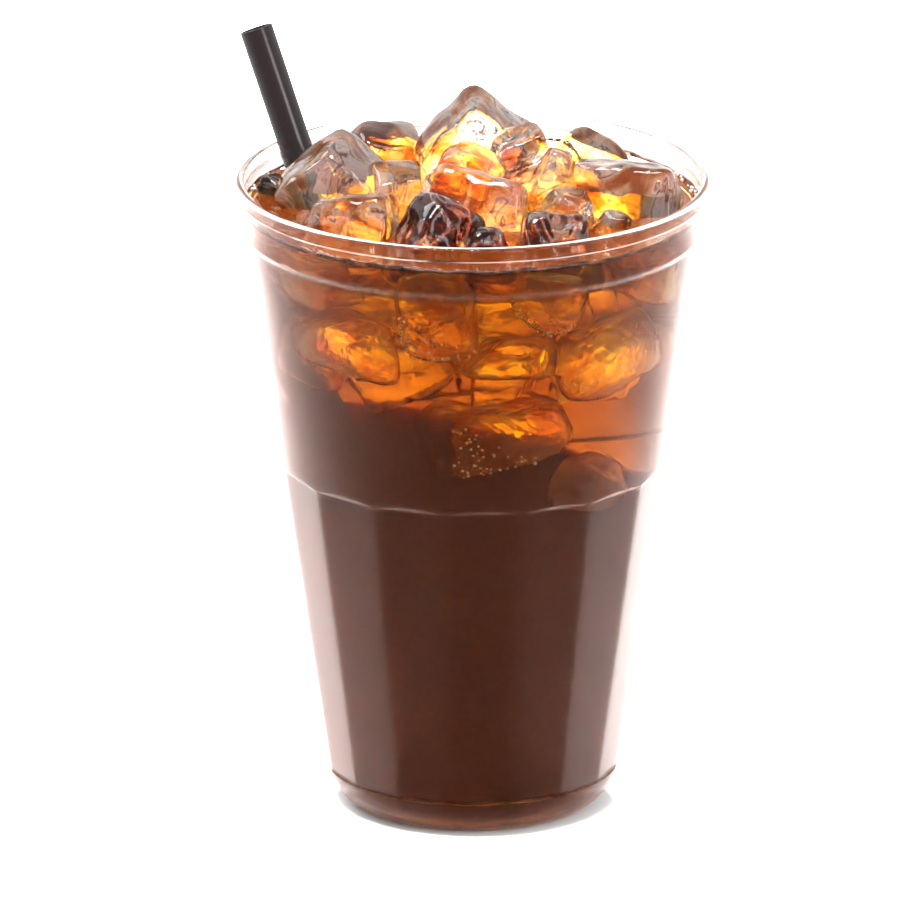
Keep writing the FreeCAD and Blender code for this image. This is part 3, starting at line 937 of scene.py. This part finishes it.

# The clear ice's colour carries painted light too: amber patches of painted glow and thin painted dark
# outlines.
clear_ice = melting_ice(
    "melting_ice",
    "ffffff",
    0.93,
    ((0.40, "a85c28"), (0.48, "ffcf9c"), (0.525, "fff8f4"), (0.54, "401a0c"), (0.555, "fffaf6")),
)
# A lit and a shaded copy of the ice: the amber one is a painted glow of light through the coffee, the dark
# one is painted shade.
amber_glow_ice = melting_ice(
    "ice_painted_amber_glow",
    "ffffff",
    0.93,
    ((0.40, "7a3c18"), (0.47, "d88c48"), (0.52, "ffcc90"), (0.53, "4a2010"), (0.55, "fff0e0")),
)
dark_shade_ice = melting_ice(
    "ice_painted_dark_shade",
    "ffffff",
    0.95,
    ((0.44, "2c1008"), (0.50, "6a3014"), (0.53, "fff4ec"), (0.55, "fff4ec"), (0.57, "4a1e0c")),
)
# The blocks that take the painted amber glow, and those that take the painted dark shade.
ICE_FINISH = {
    "back_left": amber_glow_ice,
    "left_middle": amber_glow_ice,
    "right_chip": amber_glow_ice,
    "left_chip": dark_shade_ice,
    "front_dark": dark_shade_ice,
    "front_chip": dark_shade_ice,
    "front_right": dark_shade_ice,
}
wet_ice = melting_ice("ice_under_coffee", "404040", 1.0, ((0.4, "fff4e0"), (0.6, "fffcf4")))
clouded_ice = clouded_ice_under_coffee()
for name in ICE_ABOVE:
    finish = ICE_FINISH.get(name, clear_ice)
    finish_piece(
        f"ice_block_{name}", scaled(blocks[name]), finish, replaces=[f"ice_{name}"], sharp=35
    )
for group, material in (("sunk_front", clouded_ice), ("sunk_behind", wet_ice)):
    sunk = joined_mesh(group, [mesh for name, mesh in blocks.items() if name.startswith(group)])
    finish_piece(f"{group}_ice", scaled(sunk), material, sharp=35)
add_piece("undiluted_coffee", *coffee_core(), undiluted_coffee(), slot="coffee")
# A ring of painted shade along the meniscus.
add_piece("painted_meniscus_shade", *meniscus_shade_ring(), meniscus_shade_finish(), slot="coffee")
bubble_skin = coffee_bubbles()
add_piece("edge_bubbles", *bubble_mesh(*edge_bubbles()), bubble_skin, slot="coffee")
add_piece("clinging_bubbles", *bubble_mesh(*clinging_bubbles(forms)), bubble_skin, slot="coffee")

add_piece(
    "drinking_straw",
    *straw_tube(),
    black_polypropylene(),
    slot="straw_plastic",
    replaces=["straw"],
    sharp=50,
)

# ---------------------------------------------------------------- floor, light and camera


def pale_floor():
    """A wide plain sheet under the tumbler."""
    size = 6.0
    corners = [(-size, -size, 0), (size, -size, 0), (size, size, 0), (-size, size, 0)]
    mesh = bpy.data.meshes.new("floor")
    mesh.from_pydata(corners, [], [(0, 1, 2, 3)])
    material, tree, output = new_material("matt_white_paper")
    shader = add_node(
        tree,
        "ShaderNodeBsdfPrincipled",
        {"Base Color": srgb("f4f4f4"), "Roughness": 0.9, "Specular IOR Level": 0.0},
    )
    tree.links.new(shader.outputs["BSDF"], output.inputs["Surface"])
    mesh.materials.append(material)
    floor = bpy.data.objects.new("floor", mesh)
    bpy.context.scene.collection.objects.link(floor)


def soft_studio():
    """Light from all round, stronger from behind, with lamps that brighten the sheet behind the tumbler,
    draw a highlight down the straw and lift the top of the ice."""
    world = bpy.data.worlds.new("studio")
    world.use_nodes = True
    tree = world.node_tree
    tree.nodes.clear()
    output = tree.nodes.new("ShaderNodeOutputWorld")
    direction = add_node(tree, "ShaderNodeTexCoord").outputs["Generated"]
    axes = add_node(tree, "ShaderNodeSeparateXYZ", Vector=direction)
    behind = add_node(
        tree,
        "ShaderNodeMapRange",
        {
            "From Min": -0.9,
            "From Max": 0.5,
            "To Min": 0.75,
            "To Max": 1.5,
            "interpolation_type": "SMOOTHSTEP",
        },
        Value=axes.outputs["Y"],
    )
    strength = behind.outputs["Result"]
    light = add_node(tree, "ShaderNodeBackground", {"Color": (1, 1, 1, 1)}, Strength=strength)
    tree.links.new(light.outputs["Background"], output.inputs["Surface"])
    bpy.context.scene.world = world
    add_lamp("left_lamp", (-0.55, 0.35, 0.6), (-0.2, 0.15, 0.0), (0.35, 0.35), 4.0, 180.0)
    add_lamp("back_lamp", (0.0, 0.75, 0.5), (0.0, 0.34, 0.0), (0.15, 0.15), 9.0, 38.0)
    add_lamp("front_lamp", (0.75, -0.85, 0.45), (0.0, 0.0, 0.12), (0.35, 0.9), 10.0, 180.0)
    add_lamp("top_lamp", (-0.1, -0.25, 0.8), (0.0, 0.0, 0.13), (0.4, 0.25), 1.2, 40.0)


def add_lamp(name, place, aim, size, power, spread):
    """A soft lamp, of a width and height, at place that points at aim, in metres, watts and degrees."""
    data = bpy.data.lights.new(name, "AREA")
    data.shape = "RECTANGLE"
    data.size, data.size_y = size
    data.energy = power
    data.spread = math.radians(spread)
    lamp = bpy.data.objects.new(name, data)
    bpy.context.scene.collection.objects.link(lamp)
    lamp.location = place
    lamp.rotation_euler = (Vector(aim) - Vector(place)).to_track_quat("-Z", "Y").to_euler()
    lamp.visible_camera = False


def camera_in_front():
    """The camera: nearly level lines, far off and long in the lens, looking down a little."""
    elevation, distance, lens = math.radians(18.0), 5.0, 967.0
    to_the_left, under_the_rim = 0.00465, 0.05625
    up = np.array([0, math.sin(elevation), math.cos(elevation)])
    view_centre = np.array([-to_the_left, 0, CUP_HEIGHT * MM]) - under_the_rim * up
    data = bpy.data.cameras.new("camera")
    data.lens = lens
    data.clip_end = 50
    camera = bpy.data.objects.new("camera", data)
    bpy.context.scene.collection.objects.link(camera)
    camera.location = view_centre + distance * np.array([0, -math.cos(elevation), math.sin(elevation)])
    camera.rotation_euler = (math.pi / 2 - elevation, 0, 0)
    bpy.context.scene.camera = camera


def render_settings():
    """Plain tones, and enough bounces for light to cross the ice."""
    scene = bpy.context.scene
    scene.view_settings.view_transform = "Standard"
    scene.cycles.max_bounces = 24
    scene.cycles.transmission_bounces = 24
    scene.cycles.glossy_bounces = 8
    scene.cycles.transparent_max_bounces = 16


pale_floor()
soft_studio()
camera_in_front()
render_settings()
